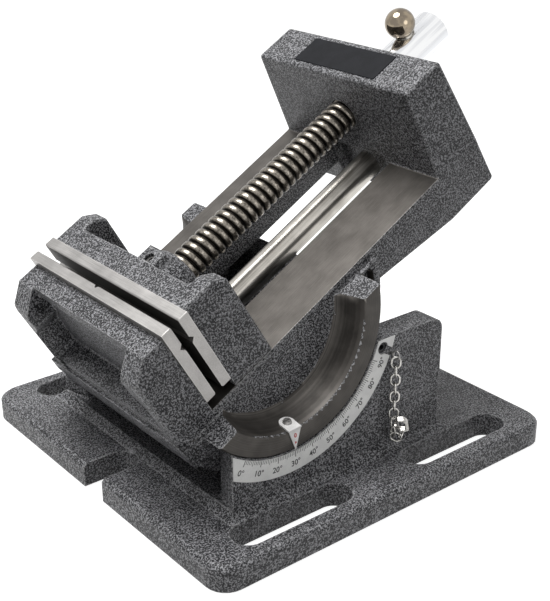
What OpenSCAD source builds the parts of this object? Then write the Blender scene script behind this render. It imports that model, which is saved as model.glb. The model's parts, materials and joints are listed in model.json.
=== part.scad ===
// Tilting machine vise: a cast base with two arc cheeks carries a vise body that tilts from level to upright.
// Millimetres. Origin: centre of the base plate's underside. +X towards the crank handle, -Y the scale side.

/* [Base plate] */
// Length of the base plate along X
base_l = 230; // [220:1:260]
// Width of the base plate along Y
base_w = 226; // [222:1:250]
// Thickness of the base plate
base_t = 14; // [11:0.5:18]
// Radius of the plate's corners
base_corner_r = 12; // [6:1:20]
// Bevel round the plate's top edge
base_edge = 2; // [0.5:0.5:4]
// Width of the bolt slots
slot_w = 18; // [12:1:19]
// Length of the long bolt slots, end to end
slot_l = 74; // [50:1:80]
// Distance of a long slot's centre from the middle, along X
slot_x = 57.5; // [52:0.5:64]
// Distance of a long slot's centre from the middle, along Y
slot_y = 95; // [93:0.5:99]
// Depth of the open slots in the plate's ends
end_slot_l = 27; // [20:1:28]
// Height of the raised pad under the cheeks
pad_h = 3.6; // [2:0.2:5]
// Width of the sloping foot round the pad
pad_foot = 5; // [2:0.5:5.5]

/* [Cheeks] */
// Thickness of each cheek
cheek_t = 15; // [12:0.5:16]
// Half the clear width between the cheeks
cheek_in = 65.3; // [65.2:0.1:67]
// Height of the cheeks' flat tops above the table
cheek_top = 82; // [76:1:86]
// Place of the cheeks' front end along X
cheek_front = -83.5; // [-86:0.5:-80]
// Place of the cheeks' rear end along X
cheek_rear = 59; // [50:1:70]
// Slant of the cheeks' front ends, from outer to inner face
cheek_slant = 4; // [0:0.5:5]
// Radius of the cheeks' rear top corners
cheek_corner_r = 7; // [3:1:12]

/* [Tilt] */
// Tilt of the vise body above level, in degrees
tilt_deg = 30; // [0:1:90]
// Place of the tilt axis along X
axis_x = -48; // [-50:0.5:-44]
// Height of the tilt axis above the table
axis_z = 99.4; // [98:0.2:104]
// Outer radius of the bearing rings
ring_r = 60.9; // [60:0.1:61.3]
// Inner radius of the bearing rings at their outer face
ring_in_r = 49.4; // [46:0.2:52]
// Inner radius of the bearing rings at their root
ring_root_r = 47; // [43:0.2:47]
// How far the rings stand out past the cheeks' outer faces
ring_proud = 0.3; // [0.1:0.1:1]
// Bevel on the rings' machined edges
ring_bevel = 1; // [0.4:0.2:1.6]
// Radius of the drum that joins the two rings
drum_r = 74.5; // [73:0.5:76]
// Thickness of the drum's curved web
web_t = 8; // [6:0.5:9]
// Thickness of the drum's side flanges
flange_t = 12; // [9:0.5:14]
// Radial play of a ring in its cheek
ring_play = 0.3; // [0.2:0.05:0.5]
// Side play of the drum between the cheeks
side_play = 0.3; // [0.2:0.05:0.5]
// Radius from the tilt axis to the lock screws
lock_r = 66.5; // [66:0.1:67]
// Direction of the lock screws from the tilt axis, in degrees
lock_deg = -20; // [-22:0.5:-19]
// Diameter of a lock screw
lock_d = 6; // [5:0.5:6.5]
// Width of the arc groove that the lock screws run in
groove_w = 7; // [6.8:0.1:7.4]
// Depth of the arc groove
groove_depth = 5; // [3:0.5:6]

/* [Vise body] */
// Width across the bed and the jaws
jaw_w = 124.8; // [122:0.2:127]
// Height of the tilt axis above the rails
rail_below_axis = 12.3; // [10:0.1:14]
// Thickness of the rails
rail_t = 15; // [13:0.5:16]
// Half the width of the channel between the rails
channel_half = 25.5; // [24:0.5:28]
// Thickness of the bed's side walls behind the drum
skirt_t = 9; // [6:0.5:10]
// Depth of the bed's sides below the rails at the rear
skirt_depth = 28.5; // [27:0.5:34]
// Depth of the bed's sides below the rails at the drum
skirt_depth_front = 18.5; // [16:0.5:24]
// Place of the rear block's front face at the rails, along the bed
block_front = 127; // [124:0.5:130]
// Place of the rear block's back face at the rails, along the bed
block_back = 160.4; // [158:0.2:164]
// Height of the rear block above the rails
block_h = 54.1; // [50:0.1:60]
// Slope of the block's front face over its height
block_front_draft = 3.9; // [1:0.1:5]
// Slope of the block's back face over its height
block_back_draft = 3; // [0:0.1:4]
// Slope of the castings' side faces over their height
side_draft = 3; // [0:0.1:4]
// Depth of the relief in the rear block at the channel's end
relief_depth = 5; // [2:0.5:8]
// Height of that relief above the rails
relief_h = 3.5; // [1:0.5:6]
// Half the width of that relief
relief_half = 21.8; // [18:0.1:24]
// Place of the fixed jaw's front face, along the bed
jaw_front = -69.3; // [-72:0.1:-67]
// Height of the jaws above the rails
jaw_h = 54.7; // [52:0.1:58]
// Height of the fixed jaw's casting above the rails, behind its plate
fixed_h = 50.6; // [47:0.1:52]
// Height of the upright part of the fixed jaw's front face
jaw_front_h = 40; // [34:0.5:44]
// Length of the fixed jaw's flat top, behind the jaw plate
jaw_top_l = 12.4; // [12:0.2:16]
// Length of the roof over the fixed jaw's pocket
roof_l = 11.6; // [10.2:0.2:11.6]
// Thickness of that roof
roof_t = 7; // [5:0.5:9]
// Thickness of the wall behind the fixed jaw plate
jaw_wall_t = 9; // [8.6:0.2:9.6]
// Thickness of the fixed jaw's end walls at the floor
jaw_shell_t = 8.8; // [6:0.2:10]
// Thickness of the fixed jaw's end walls at the top
shoulder_t = 17; // [12:0.2:18]
// Height above the rails at which the end walls thicken
shoulder_h = 22; // [16:0.5:24]
// Height of the pocket's floor above the rails
pocket_floor = 2; // [0.5:0.5:4]
// Setback of the pocket's lower lip behind the end walls
lip_set = 1.5; // [0.5:0.1:3]
// Depth of the cross member in front of the channel, below the rails
front_bar_depth = 20; // [19.5:0.5:24]

/* [Jaws] */
// Thickness of the jaw plates
plate_t = 6; // [5:0.5:8]
// Gap between the moving jaw and the rails, under the jaw plates
plate_raise = 5.6; // [2:0.2:8]
// Opening between the jaw plates
jaw_gap = 4.8; // [4.4:0.1:60]
// Place of the fixed jaw plate's back, along the bed
plate_seat = -45.6; // [-47:0.1:-44]
// Depth of the grooves in the jaw plates
v_depth = 2; // [1:0.2:2.6]
// Height of the level grooves above the rails
v_level_h = 41; // [34:1:46]
// Place of the upright groove across the fixed jaw
v_upright_y = 2; // [-20:1:20]
// Thickness of the moving jaw at its middle
moving_t = 12.8; // [12:0.2:18]
// Length of the moving jaw's end wings
wing_l = 26.4; // [22:0.2:32]
// Thickness of the wings across the jaw
wing_t = 14; // [10:0.5:18]
// Height of the sloping corner on each wing
wing_drop = 5.2; // [2:0.2:8]
// Length of the sloping corner on each wing
wing_slope = 7.6; // [3:0.2:10]
// Height of the rib between the wings
rib_h = 12; // [6:1:16]
// Depth of the guide tongue's core below the rails
tongue_depth = 21.5; // [21:0.5:23]
// Half the width of the guide tongue's core
tongue_core_half = 12; // [11:0.5:14]
// Thickness of the two keeper plates
keeper_t = 5; // [4:0.5:6]
// Half the width across the keeper plates
keeper_half = 40; // [36:1:42]
// Sliding play of the jaw on the rails
slide_play = 0.3; // [0.2:0.05:0.4]

/* [Screw and handle] */
// Diameter of the lead screw over its thread
screw_d = 18; // [16:0.5:20]
// Height of the lead screw above the rails
screw_h = 27; // [24:0.5:30]
// Diameter of the screw's journal in the moving jaw
journal_d = 12; // [10:0.5:14]
// Running play of the shafts, on radius
shaft_play = 0.06; // [0.03:0.01:0.09]
// Diameter of the screw head
head_d = 22.4; // [21:0.2:26]
// Length of the screw head
head_l = 41.5; // [36:0.5:48]
// Place of the head's front end, along the bed
head_front = 167; // [166:0.2:172]
// Distance of the handle's bore behind the head's front end
handle_set = 20; // [17:0.5:22]
// Diameter of the handle bar
bar_d = 10; // [8:0.5:11]
// Distance between the handle balls' centres
bar_span = 125; // [100:1:130]
// Diameter of the handle balls
ball_d = 17; // [15:0.5:18]
// Diameter of the guide rod
rod_d = 15.3; // [14:0.1:16]
// Depth of the guide rod's centre below the rails
rod_depth = 10.9; // [10:0.1:12]

/* [Trim] */
// Thickness of the degree scale
scale_t = 0.6; // [0.4:0.1:0.8]
// Inner radius of the degree scale
scale_in_r = 61.9; // [61.8:0.1:62.5]
// Outer radius of the degree scale
scale_out_r = 73.2; // [72:0.2:76]
// Thickness of the pointer
pointer_t = 0.8; // [0.5:0.1:1]
// Width of the pointer at its bend
pointer_w = 8.1; // [6:0.1:10]
// Length of the nameplate
name_l = 64; // [40:1:80]
// Width of the nameplate
name_w = 19; // [12:0.5:22]
// Wire of the chain's links
chain_wire = 1.1; // [0.9:0.1:1.2]
// Width of a chain link
link_w = 5.7; // [5.5:0.1:6.2]
// Length of a chain link
link_l = 7.4; // [7.2:0.1:7.8]

/* [Hidden] */

$fn = 96;
// Overrun of every cut past the face that it opens
cut = 1;
// Half the width across the bed
half_w = jaw_w / 2;
// Outer faces of the cheeks and of the bearing rings, from the middle
cheek_out = cheek_in + cheek_t;
ring_face = cheek_out + ring_proud;
// Faces of the drum, from the middle
drum_face = cheek_in - side_play;
pad_top = base_t + pad_h;
// Level at which the drum and the rings end, from the rails
drum_top = -4.9;
// Depth of the guide rod's sockets
socket_l = 14;
// Underside of the keeper plates, from the rails
keeper_low = -rail_t - slide_play - keeper_t;
keeper_screw_d = 5;
keeper_head_h = 3;
// Places along the bed
plate_face = plate_seat + plate_t;
moving_face = plate_face + jaw_gap;
moving_back = moving_face + plate_t;
moving_rear = moving_back + moving_t;
wing_rear = moving_back + wing_l;
// The drum's front is cut just ahead of the fixed jaw
drum_lead = 0.7;
drum_front = jaw_front - drum_lead;
// Hub of the moving jaw, which carries the lead screw's end, and the boss of its retaining screw on top
hub_r = 17.6;
hub_neck_r = 10.6;
hub_l = 17.7;
boss_h = 19.7;
boss_half = 7;
boss_foot = 13;
boss_l = 12.6;
hub_end = moving_rear + hub_l;
retainer_set = 6;
retainer_d = 6;
retainer_at = moving_rear + retainer_set;
journal_wall = 4;
journal_end = moving_back + journal_wall;
groove_cut = 1.6;
groove_r = journal_d / 2 - groove_cut;
groove_l = 7;
// Jaw plate screws
jaw_screw_y = 42;
jaw_screw_h = 24;
jaw_screw_d = 6;
jaw_screw_head = 11;
jaw_screw_sink = 3;
jaw_screw_l = 14;
// Hexagon sockets
hex_d = 3.5;
hex_depth = 2.5;
// Points in each rounded corner of an outline
corner_steps = 6;

// Points of an arc that rounds corner b, between its neighbours a and c, to radius r
function unit2(v) = v / norm(v);
function arc_corner(a, b, c, r) =
    let (u = unit2(a - b), w = unit2(c - b),
         half = acos(u * w) / 2,
         reach = r / tan(half),
         centre = b + unit2(u + w) * r / sin(half),
         p = b + u * reach - centre,
         q = b + w * reach - centre,
         first = atan2(p.y, p.x),
         turn = atan2(q.y, q.x) - first,
         sweep = turn > 180 ? turn - 360 : turn < -180 ? turn + 360 : turn)
    r <= 0 ? [b] : [for (i = [0 : corner_steps])
        let (t = first + sweep * i / corner_steps) centre + r * [cos(t), sin(t)]];
// Outline whose corners are rounded, one radius for each point
function rounded(pts, radii) = [for (i = [0 : len(pts) - 1])
    each arc_corner(pts[(i + len(pts) - 1) % len(pts)], pts[i], pts[(i + 1) % len(pts)], radii[i])];

// The vise body's own frame: X along the bed, Z up from the rails, at the tilt of the model
module on_body() {
    translate([axis_x, 0, axis_z]) rotate([0, -tilt_deg, 0]) translate([0, 0, -rail_below_axis]) children();
}
// A side outline in X and Z, given a width about the middle plane
module side_plate(w) {
    rotate([90, 0, 0]) linear_extrude(w, center = true) children();
}
// A cross-section in Y and Z, drawn as X and Y, run along the bed from one place to another
module run_along(from, to) {
    translate([from, 0, 0]) rotate([90, 0, 90]) linear_extrude(to - from) children();
}
// A bar along X, Y or Z between two places
module bar_x(from, to, r) { translate([from, 0, 0]) rotate([0, 90, 0]) cylinder(h = to - from, r = r); }
module bar_y(from, to, r) { translate([0, from, 0]) rotate([-90, 0, 0]) cylinder(h = to - from, r = r); }
module bar_z(from, to, r) { translate([0, 0, from]) cylinder(h = to - from, r = r); }
// A box between two corners
module box(low, high) { translate(low) cube(high - low); }
module both_sides() { children(); mirror([0, 1, 0]) children(); }
module slot_outline(l, w) {
    square([l - w, w], center = true);
    for (s = [-1, 1]) translate([s * (l - w) / 2, 0]) circle(d = w);
}

// Base casting

module base_plate() {
    low = [-base_l / 2, -base_w / 2];
    high = -low;
    corners = [low, [high.x, low.y], high, [low.x, high.y]];
    radii = [for (i = [0 : 3]) base_corner_r];
    inner = [for (p = corners) p - base_edge * [sign(p.x), sign(p.y)]];
    linear_extrude(base_t - base_edge) polygon(rounded(corners, radii));
    hull() {
        translate([0, 0, base_t - base_edge - base_edge / 2]) linear_extrude(base_edge / 2)
            polygon(rounded(corners, radii));
        translate([0, 0, base_t - base_edge / 2]) linear_extrude(base_edge / 2)
            polygon(rounded(inner, radii));
    }
}

module plate_slots() {
    for (sx = [-1, 1]) {
        for (sy = [-1, 1]) translate([sx * slot_x, sy * slot_y, -cut])
            linear_extrude(base_t + pad_h + 2 * cut) slot_outline(slot_l, slot_w);
        translate([sx * (base_l / 2 - end_slot_l + slot_w / 2), 0, -cut]) {
            cylinder(h = base_t + pad_h + 2 * cut, d = slot_w);
            translate([sx > 0 ? 0 : -end_slot_l, -slot_w / 2, 0])
                cube([end_slot_l, slot_w, base_t + pad_h + 2 * cut]);
        }
    }
}

// The pad between and under the cheeks, with a sloping foot all round
module pad() {
    low = [cheek_front, -cheek_out];
    high = [cheek_rear, cheek_out];
    hull() {
        box([low.x - pad_foot, low.y - pad_foot, base_t - cut], [high.x + pad_foot, high.y + pad_foot, base_t]);
        box([low.x, low.y, base_t], [high.x, high.y, pad_top]);
    }
}

module cheek_outline() {
    polygon(rounded([[cheek_front, base_t], [cheek_rear, base_t], [cheek_rear, cheek_top],
        [cheek_front, cheek_top]], [0, 0, cheek_corner_r, 0]));
}

module cheeks() {
    intersection() {
        both_sides() translate([0, -cheek_in, 0]) rotate([90, 0, 0]) linear_extrude(cheek_t) cheek_outline();
        linear_extrude(cheek_top + cut) polygon([
            [cheek_front, -cheek_out], [cheek_rear, -cheek_out], [cheek_rear, cheek_out],
            [cheek_front, cheek_out], [cheek_front + cheek_slant, cheek_in],
            [cheek_front + cheek_slant, -cheek_in]]);
    }
}

// Places the lock screws' axis, at the cheek on side -1 or 1, with Y along the screw
module at_lock() {
    translate([axis_x + lock_r * cos(lock_deg), 0, axis_z + lock_r * sin(lock_deg)]) children();
}

module base_casting() {
    color("dimgray") difference() {
        union() {
            base_plate();
            pad();
            cheeks();
        }
        plate_slots();
        translate([axis_x, 0, axis_z]) bar_y(-cheek_out - cut, cheek_out + cut, ring_r + ring_play);
        at_lock() both_sides() bar_y(-cheek_out - cut, -cheek_in + cut, lock_d / 2 + shaft_play);
        eye_stem();
    }
}

// The scale lies on the near cheek, cut level with the cheek's top and front end
module degree_scale() {
    margin = 0.5;
    notch_w = 4.5;
    notch_deg = -31;
    color("gainsboro") difference() {
        intersection() {
            translate([axis_x, 0, axis_z])
                bar_y(-cheek_out - scale_t, -cheek_out, scale_out_r);
            box([cheek_front + margin, -cheek_out - scale_t - cut, pad_top],
                [cheek_rear, -cheek_out + cut, cheek_top - margin]);
        }
        translate([axis_x, 0, axis_z]) bar_y(-cheek_out - scale_t - cut, -cheek_out + cut, scale_in_r);
        at_lock() {
            bar_y(-cheek_out - scale_t - cut, -cheek_out + cut, lock_d / 2 + margin);
            rotate([0, -notch_deg, 0]) box([0, -cheek_out - scale_t - cut, -notch_w / 2],
                [scale_out_r - scale_in_r, -cheek_out + cut, notch_w / 2]);
        }
    }
}

// A socket set screw through the cheek, whose point runs in the drum's arc groove
module tilt_lock_screw() {
    sunk = 0.8;
    point_play = 0.4;
    point = drum_face - groove_depth + point_play;
    at_lock() difference() {
        bar_y(-cheek_out + sunk, -point, lock_d / 2);
        translate([0, -cheek_out + sunk - cut, 0]) rotate([-90, 0, 0]) cylinder(h = hex_depth + cut, d = hex_d, $fn = 6);
    }
}
module tilt_lock_screw_near() { color("black") tilt_lock_screw(); }
module tilt_lock_screw_far() { color("black") mirror([0, 1, 0]) tilt_lock_screw(); }

// Vise body casting

module drum_cut() {
    box([drum_front, -ring_face - cut, -drum_r - rail_below_axis], [drum_r + cut, ring_face + cut, drum_top]);
}

// Both bearing rings, each a turned section about the tilt axis
module rings() {
    both_sides() translate([0, 0, rail_below_axis]) rotate([90, 0, 0]) rotate_extrude() polygon([
        [ring_root_r, drum_face - cut], [ring_r, drum_face - cut],
        [ring_r, ring_face - ring_bevel], [ring_r - ring_bevel, ring_face],
        [ring_in_r + ring_bevel, ring_face], [ring_in_r, ring_face - ring_bevel],
        [ring_root_r, drum_face]]);
}

// The arc groove in one flange: its ends stop the tilt at level and at upright
module lock_groove() {
    play_deg = 0.6;
    travel = 90;
    end_step = 0.4;
    floor_step = 0.2;
    end_turn = 45;
    from = lock_deg + play_deg;
    to = lock_deg - travel - play_deg;
    translate([0, -drum_face - cut, rail_below_axis]) rotate([-90, 0, 0]) {
        rotate([0, 0, -from]) rotate_extrude(angle = from - to)
            translate([lock_r - groove_w / 2, 0]) square([groove_w, groove_depth + cut]);
        for (a = [from, to]) rotate([0, 0, -a]) translate([lock_r, 0, 0]) rotate([0, 0, end_turn])
            cylinder(h = groove_depth + cut - floor_step, d = groove_w - end_step);
    }
}

// Recess inside a ring, down to the level of the castings' sides, with a sloping root
module ring_recess() {
    wall_step = drum_face - half_w;
    translate([0, 0, rail_below_axis]) rotate([90, 0, 0]) rotate_extrude() polygon([[0, half_w],
        [ring_root_r - wall_step, half_w], [ring_root_r, drum_face], [ring_root_r, drum_face + cut],
        [0, drum_face + cut]]);
}

// Gap in the drum's web that lets the keeper plates and their screws pass
module keeper_window() {
    side = 4;
    below = 1.2;
    box([0, -keeper_half - side, keeper_low - keeper_head_h - below], [drum_r, keeper_half + side, 0]);
}

module drum() {
    difference() {
        intersection() {
            union() {
                translate([0, 0, rail_below_axis]) bar_y(-drum_face, drum_face, drum_r);
                rings();
            }
            drum_cut();
        }
        translate([0, 0, rail_below_axis]) bar_y(flange_t - drum_face, drum_face - flange_t, drum_r - web_t);
        both_sides() ring_recess();
        keeper_window();
    }
}

// Trapezoid cross-section: the castings' sides lean inwards above the rails
module drafted_section(top, bottom) {
    lean = side_draft * top / block_h;
    polygon([[-half_w, bottom], [half_w, bottom], [half_w, 0], [half_w - lean, top], [lean - half_w, top],
        [-half_w, 0]]);
}

module rear_block() {
    corner = 2;
    foot = 1;
    intersection() {
        side_plate(jaw_w) polygon(rounded([
            [block_front, -rail_t], [block_front + block_front_draft, block_h],
            [block_back - block_back_draft, block_h], [block_back, 0], [block_back + foot, -skirt_depth],
            [block_front, -skirt_depth]], [0, corner, corner, 0, corner, 0]));
        run_along(block_front - cut, block_back + block_back_draft + cut) drafted_section(block_h, -skirt_depth);
    }
}

module fixed_jaw() {
    front_corner = 7;
    top_corner = 1;
    side_points = [[jaw_front, drum_top], [jaw_front, jaw_front_h], [plate_seat - jaw_top_l, fixed_h],
        [plate_seat, fixed_h], [plate_seat, drum_top]];
    difference() {
        intersection() {
            side_plate(jaw_w) polygon(rounded(side_points, [0, front_corner, top_corner, 0, 0]));
            run_along(jaw_front - cut, plate_seat + cut) drafted_section(fixed_h, drum_top);
            translate([0, 0, drum_top - cut]) linear_extrude(fixed_h - drum_top + 2 * cut) polygon(rounded([
                [jaw_front, -half_w], [plate_seat, -half_w], [plate_seat, half_w], [jaw_front, half_w]],
                [front_corner, 0, 0, front_corner]));
        }
        jaw_pocket();
    }
}

// The fixed jaw is a shell, open to the front: its roof ends at the flat top, its end walls thicken upwards,
// and its lower lip is set back
module jaw_pocket() {
    back = plate_seat - jaw_wall_t;
    roof_end = plate_seat - roof_l;
    low_half = half_w - jaw_shell_t;
    top_half = half_w - shoulder_t;
    slope_top = shoulder_h + shoulder_t - jaw_shell_t;
    far_top = fixed_h + 2 * cut;
    corner = 3;
    intersection() {
        side_plate(jaw_w) polygon([[jaw_front - cut, pocket_floor - cut], [back, pocket_floor - cut],
            [back, fixed_h - roof_t], [roof_end, fixed_h - roof_t], [roof_end, fixed_h + cut],
            [jaw_front - cut, fixed_h + cut]]);
        run_along(jaw_front - 2 * cut, plate_seat) polygon(rounded([
            [-low_half, pocket_floor], [low_half, pocket_floor], [low_half, shoulder_h], [top_half, slope_top],
            [top_half, far_top], [-top_half, far_top], [-top_half, slope_top], [-low_half, shoulder_h]],
            [corner, corner, corner, corner, 0, 0, corner, corner]));
    }
    box([jaw_front - cut, corner + cut - low_half, drum_top - cut],
        [jaw_front + lip_set, low_half - corner - cut, pocket_floor + cut]);
}

module bed() {
    skirt_front = 60;
    slope_end = 126;
    difference() {
        union() {
            box([jaw_front, -half_w, -front_bar_depth], [plate_face, half_w, drum_top]);
            box([plate_seat, -half_w, -rail_t], [block_front + cut, half_w, 0]);
            side_plate(jaw_w) polygon([[skirt_front, 0], [block_front + cut, 0], [block_front + cut, -skirt_depth],
                [slope_end, -skirt_depth], [skirt_front, -skirt_depth_front]]);
        }
        box([plate_face, -channel_half, -skirt_depth - cut], [block_front + 2 * cut, channel_half, cut]);
        box([plate_face, skirt_t - half_w, -skirt_depth - cut], [block_front, half_w - skirt_t, -rail_t]);
    }
}

// A shallow groove between each machined rail and the painted side below it
module rail_grooves() {
    depth = 0.6;
    both_sides() box([plate_seat, -half_w - cut, -2 * depth], [block_front, -half_w + depth, -depth]);
}

module jaw_screw_bore(x, r) {
    for (s = [-1, 1]) translate([0, s * jaw_screw_y, jaw_screw_h]) bar_x(x, x + jaw_screw_l, r);
}

module vise_body_casting() {
    color("dimgray") on_body() difference() {
        union() {
            bed();
            rear_block();
            fixed_jaw();
            drum();
        }
        both_sides() lock_groove();
        box([block_front - cut, -relief_half, -skirt_depth - cut], [block_front + relief_depth, relief_half, relief_h]);
        translate([0, 0, screw_h]) bar_x(block_front - cut, block_back + 2 * cut, screw_d / 2 + shaft_play);
        translate([0, 0, -rod_depth]) bar_x(plate_face - socket_l, block_front + relief_depth + socket_l, rod_d / 2);
        jaw_screw_bore(plate_seat - jaw_screw_l + plate_t, jaw_screw_d / 2);
        at_rod_screw() bar_z(-skirt_depth - cut, -rod_depth, retainer_d / 2);
        pointer_screw_bore();
        rail_grooves();
    }
}

// The guide rod is held by one set screw from below, in the rear block
module at_rod_screw() {
    translate([block_front + relief_depth + socket_l / 2, 0, 0]) children();
}

module rod_set_screw() {
    l = 8;
    top = -rod_depth - rod_d / 2;
    color("dimgray") on_body() at_rod_screw() difference() {
        bar_z(top - l, top, retainer_d / 2);
        translate([0, 0, top - l - cut]) cylinder(h = hex_depth + cut, d = hex_d, $fn = 6);
    }
}

module guide_rod() {
    color("silver") on_body() translate([0, 0, -rod_depth])
        bar_x(plate_face - socket_l, block_front + relief_depth + socket_l, rod_d / 2);
}

// A ground jaw plate; its working face looks towards +X
module jaw_plate(upright) {
    bevel = 0.6;
    difference() {
        side_plate(jaw_w) polygon([[0, plate_raise], [plate_t - bevel, plate_raise], [plate_t, plate_raise + bevel],
            [plate_t, v_level_h - v_depth], [plate_t - v_depth, v_level_h], [plate_t, v_level_h + v_depth],
            [plate_t, jaw_h - bevel], [plate_t - bevel, jaw_h], [0, jaw_h]]);
        if (upright) translate([0, v_upright_y, plate_raise - cut]) linear_extrude(jaw_h)
            polygon([[plate_t - v_depth, 0], [plate_t + cut, -v_depth - cut], [plate_t + cut, v_depth + cut]]);
        jaw_screw_bore(-cut, jaw_screw_d / 2);
        for (s = [-1, 1]) translate([plate_t - jaw_screw_sink, s * jaw_screw_y, jaw_screw_h]) rotate([0, 90, 0])
            cylinder(h = jaw_screw_sink, d1 = jaw_screw_d, d2 = jaw_screw_head);
        for (s = [-1, 1]) translate([0, s * jaw_screw_y, jaw_screw_h]) bar_x(plate_t, plate_t + cut, jaw_screw_head / 2);
    }
}

// Two countersunk socket screws that hold a jaw plate
module jaw_screws() {
    tip = plate_t - jaw_screw_l;
    for (s = [-1, 1]) translate([0, s * jaw_screw_y, jaw_screw_h]) difference() {
        union() {
            bar_x(tip, plate_t - jaw_screw_sink, jaw_screw_d / 2);
            translate([plate_t - jaw_screw_sink, 0, 0]) rotate([0, 90, 0])
                cylinder(h = jaw_screw_sink, d1 = jaw_screw_d, d2 = jaw_screw_head);
        }
        translate([plate_t - hex_depth, 0, 0]) rotate([0, 90, 0]) cylinder(h = hex_depth + cut, d = hex_d, $fn = 6);
    }
}

module fixed_jaw_plate() { color("lightgray") on_body() translate([plate_seat, 0, 0]) jaw_plate(true); }
module fixed_jaw_screws() { color("dimgray") on_body() translate([plate_seat, 0, 0]) jaw_screws(); }

module nameplate() {
    name_t = 0.5;
    middle = block_front + block_front_draft + (block_back - block_back_draft - block_front - block_front_draft) / 2;
    color("darkslategray") on_body() box([middle - name_w / 2, -name_l / 2, block_h],
        [middle + name_w / 2, name_l / 2, block_h + name_t]);
}

// Angle pointer

// Direction of the pointer from the tilt axis when the bed is level
pointer_deg = -116.4;
tab_r = 4.2;
// Middle of the pointer's tab, from the ring's face
tab_in = 5.5;
pointer_gap = 0.1;
ring_lean = atan((ring_in_r - ring_root_r) / (ring_face - ring_bevel - drum_face));

// In the body's frame: the pointer's place on the ring's outer face, with -Z outwards along a radius
module at_pointer() {
    translate([0, -ring_face, rail_below_axis]) rotate([0, -pointer_deg - 90, 0]) children();
}

module angle_pointer() {
    tip_reach = 0.4;
    color("gainsboro") on_body() at_pointer() {
        translate([0, -pointer_t, 0]) rotate([-90, 0, 0]) linear_extrude(pointer_t)
            polygon([[-pointer_w / 2, ring_in_r - pointer_t], [pointer_w / 2, ring_in_r - pointer_t],
                [0, ring_r + tip_reach]]);
        translate([0, 0, -ring_in_r]) rotate([ring_lean, 0, 0]) difference() {
            union() {
                box([-pointer_w / 2, -pointer_t, pointer_gap], [pointer_w / 2, tab_in, pointer_gap + pointer_t]);
                translate([0, tab_in, pointer_gap]) cylinder(h = pointer_t, r = tab_r);
            }
            translate([0, tab_in, 0]) bar_z(-cut, pointer_t + cut, pointer_screw_d / 2);
        }
    }
}

pointer_screw_d = 3;
module pointer_screw_axis() {
    at_pointer() translate([0, 0, -ring_in_r]) rotate([ring_lean, 0, 0]) translate([0, tab_in, 0]) children();
}
pointer_screw_l = 5;
pointer_head_d = 5;
pointer_head_top_d = 4;
module pointer_screw_bore() {
    pointer_screw_axis() bar_z(-pointer_screw_l, cut, pointer_screw_d / 2);
}
module pointer_screw() {
    head_h = 1.4;
    color("silver") on_body() pointer_screw_axis() difference() {
        union() {
            bar_z(-pointer_screw_l, pointer_gap + pointer_t, pointer_screw_d / 2);
            translate([0, 0, pointer_gap + pointer_t]) 
                cylinder(h = head_h, d1 = pointer_head_d, d2 = pointer_head_top_d);
        }
        box([-pointer_screw_d, -pointer_t / 2, pointer_gap + pointer_t + head_h / 2],
            [pointer_screw_d, pointer_t / 2, pointer_t + head_h + cut]);
    }
}

// Moving jaw

// Outline of a wing, seen from the side
module wing_outline() {
    polygon(rounded([[moving_back, slide_play], [wing_rear, slide_play], [wing_rear, jaw_h - wing_drop],
        [wing_rear - wing_slope, jaw_h], [moving_back, jaw_h]], [0, 0, 2, 2, 0]));
}

module moving_jaw_block() {
    wing_in = half_w - wing_t;
    intersection() {
        union() {
            box([moving_back, -half_w, slide_play], [moving_rear, half_w, jaw_h]);
            both_sides() translate([0, -wing_in, 0]) rotate([90, 0, 0]) linear_extrude(wing_t) wing_outline();
            box([moving_rear - cut, -wing_in - cut, slide_play], [wing_rear, wing_in + cut, rib_h]);
        }
        run_along(moving_back - cut, wing_rear + cut) drafted_section(jaw_h, 0);
        side_plate(jaw_w) wing_outline();
    }
}

// Domed hub round the end of the lead screw: a quarter ellipse between its full radius and its neck
module hub() {
    dome_share = 0.77;
    dome_l = hub_l * dome_share;
    steps = 10;
    translate([moving_rear - cut, 0, screw_h]) rotate([0, 90, 0]) rotate_extrude() polygon([
        [0, 0], [hub_r, 0],
        for (i = [0 : steps]) [hub_neck_r + (hub_r - hub_neck_r) * cos(90 * i / steps),
            hub_l - dome_l + cut + dome_l * sin(90 * i / steps)],
        [0, hub_l + cut]]);
}

// Flat-topped boss on the hub, round the retaining screw
module retainer_boss() {
    run_along(moving_rear - cut, moving_rear + boss_l) polygon([[-boss_foot, screw_h], [boss_foot, screw_h],
        [boss_half, screw_h + boss_h], [-boss_half, screw_h + boss_h]]);
}

// Tongue that runs between the rails, with a deeper core round the guide rod
module tongue() {
    box([moving_back, slide_play - channel_half, -rail_t - slide_play],
        [wing_rear, channel_half - slide_play, slide_play + cut]);
    box([moving_back, -tongue_core_half, -tongue_depth], [wing_rear, tongue_core_half, 0]);
}

module keeper_screw_places() {
    inset = 6.5;
    for (x = [moving_back + inset, wing_rear - inset]) for (s = [-1, 1])
        translate([x, s * (tongue_core_half + channel_half) / 2, 0]) children();
}

module moving_jaw() {
    color("dimgray") on_body() difference() {
        union() {
            moving_jaw_block();
            hub();
            retainer_boss();
            tongue();
        }
        translate([0, 0, screw_h]) bar_x(journal_end, hub_end + cut, journal_d / 2 + shaft_play);
        translate([retainer_at, 0, screw_h]) bar_z(0, boss_h + cut, retainer_d / 2);
        translate([0, 0, -rod_depth]) bar_x(moving_back - cut, wing_rear + cut, rod_d / 2 + shaft_play);
        translate([moving_back, 0, 0]) mirror([1, 0, 0]) jaw_screw_bore(-jaw_screw_l + plate_t, jaw_screw_d / 2);
        keeper_screw_places() bar_z(keeper_low, keeper_low + keeper_screw_l, keeper_screw_d / 2);
    }
}

module moving_jaw_plate() {
    color("lightgray") on_body() translate([moving_back, 0, 0]) mirror([1, 0, 0]) jaw_plate(false);
}
module moving_jaw_screws() {
    color("dimgray") on_body() translate([moving_back, 0, 0]) mirror([1, 0, 0]) jaw_screws();
}

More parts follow.
